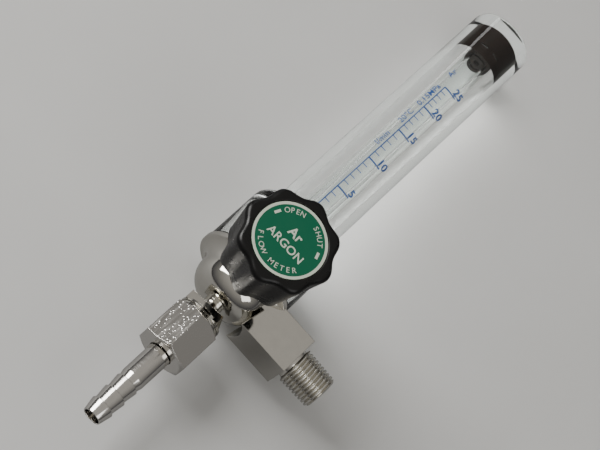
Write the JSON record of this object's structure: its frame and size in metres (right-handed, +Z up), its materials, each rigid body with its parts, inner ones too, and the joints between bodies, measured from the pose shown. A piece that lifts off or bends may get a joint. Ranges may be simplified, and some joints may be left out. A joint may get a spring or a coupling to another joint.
{
  "type": "gas regulator",
  "caption": "Needle-valve gas flow meter: clear tube with a ball float over a plated body, lobed knob, threaded side inlet and barbed bottom outlet.",
  "frame": {"origin": "on the inlet thread's axis, where the thread starts beside the block", "axes": "+X out along the inlet thread; -Y towards the knob's face; +Z up along the metering tube"},
  "size_m": [0.0623, 0.0695, 0.2072],
  "materials": {
    "body_chrome": "polished nickel-chrome plating",
    "outlet_chrome": "polished plating",
    "nut_chrome": "plating with turned faces, worn at the corners",
    "tail_chrome": "turned and plated",
    "thread_chrome": "cut thread, plated",
    "clear_cover": "clear moulded plastic, polished",
    "meter_glass": "clear glass",
    "black_plastic": "moulded black plastic",
    "white_plastic": "moulded plastic",
    "knob_plastic": "satin black plastic",
    "label_film": "printed film",
    "black_rubber": "matt",
    "pale_rubber": "matt",
    "float_steel": "polished ball",
    "filter_bronze": "sintered, matt",
    "bonnet_brass": "turned",
    "needle_steel": "turned",
    "spindle_steel": "turned"
  },
  "bodies": {
    "meter": {"valve_body": "body_chrome", "outer_tube": "clear_cover", "cover_gasket": "black_rubber", "cover_o_ring": "black_rubber", "metering_tube": "meter_glass", "tube_seal": "pale_rubber", "lower_float_stop": "white_plastic", "upper_float_stop": "black_plastic", "tube_stopper": "black_plastic", "centring_ring": "black_rubber", "outlet_adaptor": "outlet_chrome", "outlet_gasket": "pale_rubber", "union_nut": "nut_chrome", "hose_tail": "tail_chrome", "inlet_nipple": "thread_chrome", "inlet_filter": "filter_bronze", "valve_seat": "white_plastic", "bonnet_nut": "bonnet_brass", "bonnet_washer": "black_rubber", "spindle_o_ring": "black_rubber", "gland_washer": "bonnet_brass"},
    "spindle": {"valve_needle": "needle_steel"},
    "knob": {"knob": "knob_plastic", "knob_label": "label_film", "knob_screw": "needle_steel", "valve_spindle": "spindle_steel"},
    "float": {"float_ball": "float_steel"}
  },
  "joints": [
    {"name": "valve_lift", "type": "slide", "parent": "meter", "child": "spindle", "axis": [0, -1, 0], "range_m": [0, 0.0026]},
    {"name": "knob_turn", "type": "hinge", "parent": "spindle", "child": "knob", "pos_m": [-0.0318, -0.04, 0.0026], "axis": [0, -1, 0], "range_deg": [0, 900]},
    {"name": "float_rise", "type": "slide", "parent": "meter", "child": "float", "axis": [0, 0, 1], "range_m": [0, 0.0953]}
  ],
  "couplings": [
    {"joint": "valve_lift", "follows": "knob_turn", "m_per_rad": 0.00015915}
  ]
}
